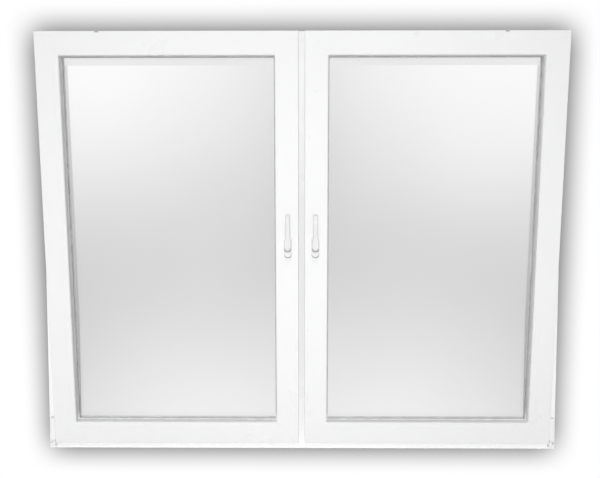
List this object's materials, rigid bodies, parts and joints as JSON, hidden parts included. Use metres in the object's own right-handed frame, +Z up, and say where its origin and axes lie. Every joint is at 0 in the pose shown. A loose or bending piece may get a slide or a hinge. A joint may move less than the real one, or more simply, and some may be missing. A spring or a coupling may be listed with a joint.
{
  "type": "tilt and turn window",
  "caption": "White plastic tilt and turn window with sashes tilted inward at the top on either side of a mullion, clear double glazing, pale grey seals and upright lever handles.",
  "frame": {"origin": "on the underside of the sill, halfway along its length and halfway through its depth", "axes": "+X along the width, to the right as seen from the room; +Y from the room to the outside; +Z up"},
  "size_m": [1.765, 0.1946, 1.435],
  "materials": {
    "frame_plastic": "smooth white plastic, semi-gloss",
    "sash_plastic": "smooth white plastic, semi-gloss",
    "glass": "clear float glass",
    "spacer": "plain mill finish",
    "seal": "matt light grey rubber",
    "handle_white": "white lacquer, semi-gloss",
    "hinge_cover": "smooth white plastic covers",
    "fitting_steel": "zinc-plated, satin"
  },
  "bodies": {
    "root": {"frame_head": "frame_plastic", "frame_left_jamb": "frame_plastic", "frame_right_jamb": "frame_plastic", "frame_sill": "frame_plastic", "left_bead_gasket": "seal", "left_bottom_bead": "sash_plastic", "left_bottom_rail": "sash_plastic", "left_corner_hinge": "hinge_cover", "left_flange_seal": "seal", "left_head_keep": "fitting_steel", "left_hinge_bead": "sash_plastic", "left_hinge_stile": "sash_plastic", "left_lever": "handle_white", "left_lock_bead": "sash_plastic", "left_lock_rail": "fitting_steel", "left_lock_stile": "sash_plastic", "left_outer_gasket": "seal", "left_outer_pane": "glass", "left_pivot_bearing": "hinge_cover", "left_room_pane": "glass", "left_rosette": "handle_white", "left_side_keep": "fitting_steel", "left_spacer": "spacer", "left_stay_arm": "fitting_steel", "left_stay_bearing": "hinge_cover", "left_stop_seal": "seal", "left_top_bead": "sash_plastic", "left_top_rail": "sash_plastic", "mullion": "frame_plastic", "right_bead_gasket": "seal", "right_bottom_bead": "sash_plastic", "right_bottom_rail": "sash_plastic", "right_corner_hinge": "hinge_cover", "right_flange_seal": "seal", "right_head_keep": "fitting_steel", "right_hinge_bead": "sash_plastic", "right_hinge_stile": "sash_plastic", "right_lever": "handle_white", "right_lock_bead": "sash_plastic", "right_lock_rail": "fitting_steel", "right_lock_stile": "sash_plastic", "right_outer_gasket": "seal", "right_outer_pane": "glass", "right_pivot_bearing": "hinge_cover", "right_room_pane": "glass", "right_rosette": "handle_white", "right_side_keep": "fitting_steel", "right_spacer": "spacer", "right_stay_arm": "fitting_steel", "right_stay_bearing": "hinge_cover", "right_stop_seal": "seal", "right_top_bead": "sash_plastic", "right_top_rail": "sash_plastic"}
  },
  "joints": []
}
